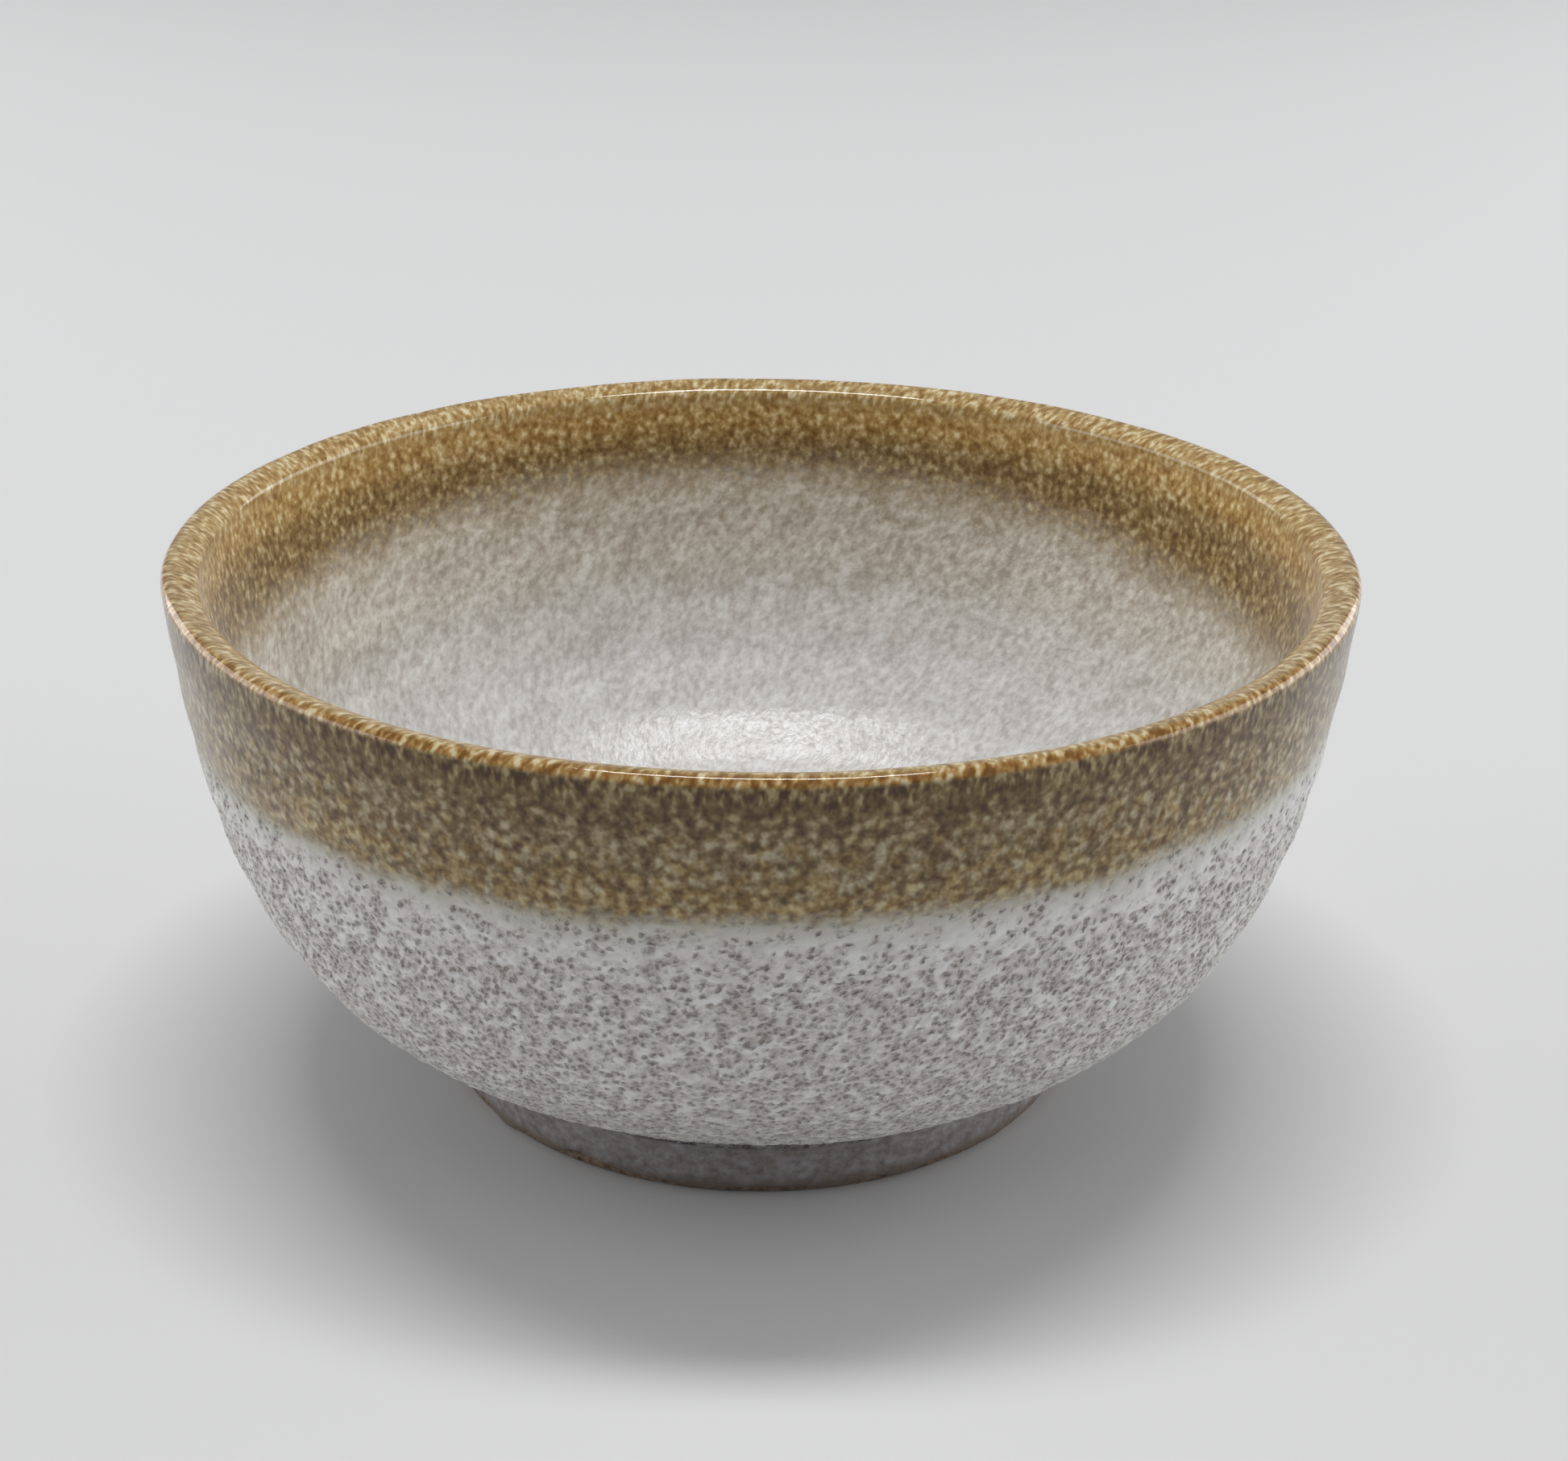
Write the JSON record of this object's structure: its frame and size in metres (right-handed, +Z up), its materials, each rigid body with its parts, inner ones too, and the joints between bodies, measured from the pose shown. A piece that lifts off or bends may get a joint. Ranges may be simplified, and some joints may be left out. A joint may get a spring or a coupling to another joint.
{
  "type": "matcha bowl",
  "caption": "Deep round stoneware tea bowl on a turned foot ring, with a pitted white glaze and a brown glazed rim, for whisking powdered tea.",
  "frame": {"origin": "centre of the circle that the foot ring stands on", "axes": "+Z up along the bowl's turning axis; X and Y are level and interchangeable in shape"},
  "size_m": [0.13, 0.13, 0.062],
  "materials": {
    "clay_body": "matte",
    "clay_foot": "matte",
    "outer_white": "satin, pitted",
    "inner_white": "satin",
    "rim_brown": "satin, speckled",
    "foot_skin": "satin",
    "recess_skin": "satin"
  },
  "bodies": {
    "root": {"stoneware_body": "clay_body", "foot_ring": "clay_foot", "outer_white_glaze": "outer_white", "inner_white_glaze": "inner_white", "rim_brown_glaze": "rim_brown", "foot_glaze": "foot_skin", "recess_glaze": "recess_skin"}
  },
  "joints": []
}
